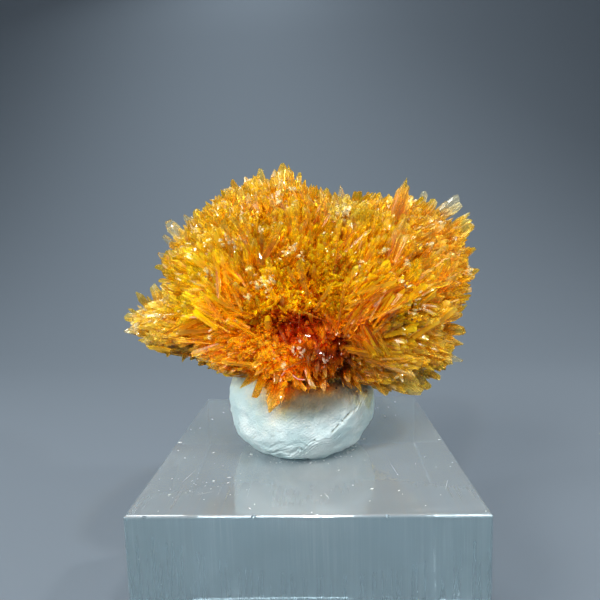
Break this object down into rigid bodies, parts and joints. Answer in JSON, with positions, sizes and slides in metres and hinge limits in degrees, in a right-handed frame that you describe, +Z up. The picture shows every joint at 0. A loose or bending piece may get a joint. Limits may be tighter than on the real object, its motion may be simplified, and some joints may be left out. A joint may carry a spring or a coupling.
{
  "type": "creedite crystal specimen",
  "caption": "Orange creedite crystal sprays grown together in one spiky cluster, held by pale display putty on a clear acrylic block.",
  "frame": {"origin": "centre of the acrylic block's underside", "axes": "+Z up through the block and the cluster, -Y towards the viewer, +X to the viewer's right"},
  "size_m": [0.0619, 0.05, 0.0859],
  "materials": {
    "creedite": "clear orange crystals, paler at their tips",
    "putty": "matt, pale mint white, with finger ridges",
    "acrylic": "clear and polished, with fine saw marks in the sides"
  },
  "bodies": {
    "root": {"creedite_cluster": "creedite", "display_putty": "putty", "acrylic_block": "acrylic"}
  },
  "joints": []
}
